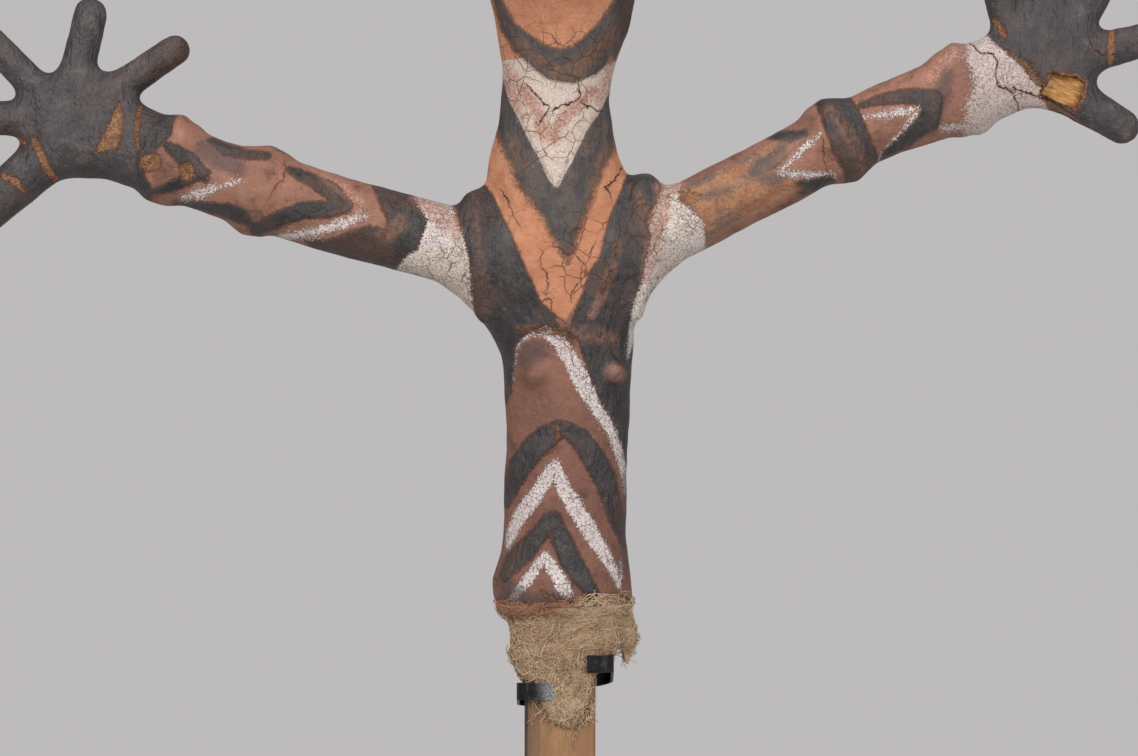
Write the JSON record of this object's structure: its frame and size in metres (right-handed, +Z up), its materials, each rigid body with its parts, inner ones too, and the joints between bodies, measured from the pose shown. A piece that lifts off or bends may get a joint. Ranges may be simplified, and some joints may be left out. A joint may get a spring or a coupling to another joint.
{
  "type": "ceremonial effigy figure",
  "caption": "Painted effigy figure with outstretched arms and open hands, on a bound stake held by a steel display stand.",
  "frame": {"origin": "middle of the base plate's underside, under the stake", "axes": "+Z up along the stake, the figure faces -Y, +X towards the arm that is raised higher"},
  "size_m": [0.8781, 0.24, 0.9819],
  "materials": {
    "paste": "matte",
    "stake_wood": "satin",
    "tow": "matte",
    "slat_wood": "matte",
    "stand_steel": "satin"
  },
  "bodies": {
    "root": {"figure": "paste", "stake": "stake_wood", "tow_wrap": "tow", "wrist_slat": "slat_wood", "upper_strap": "stand_steel", "lower_strap": "stand_steel", "stand_post": "stand_steel", "base_plate": "stand_steel"}
  },
  "joints": []
}
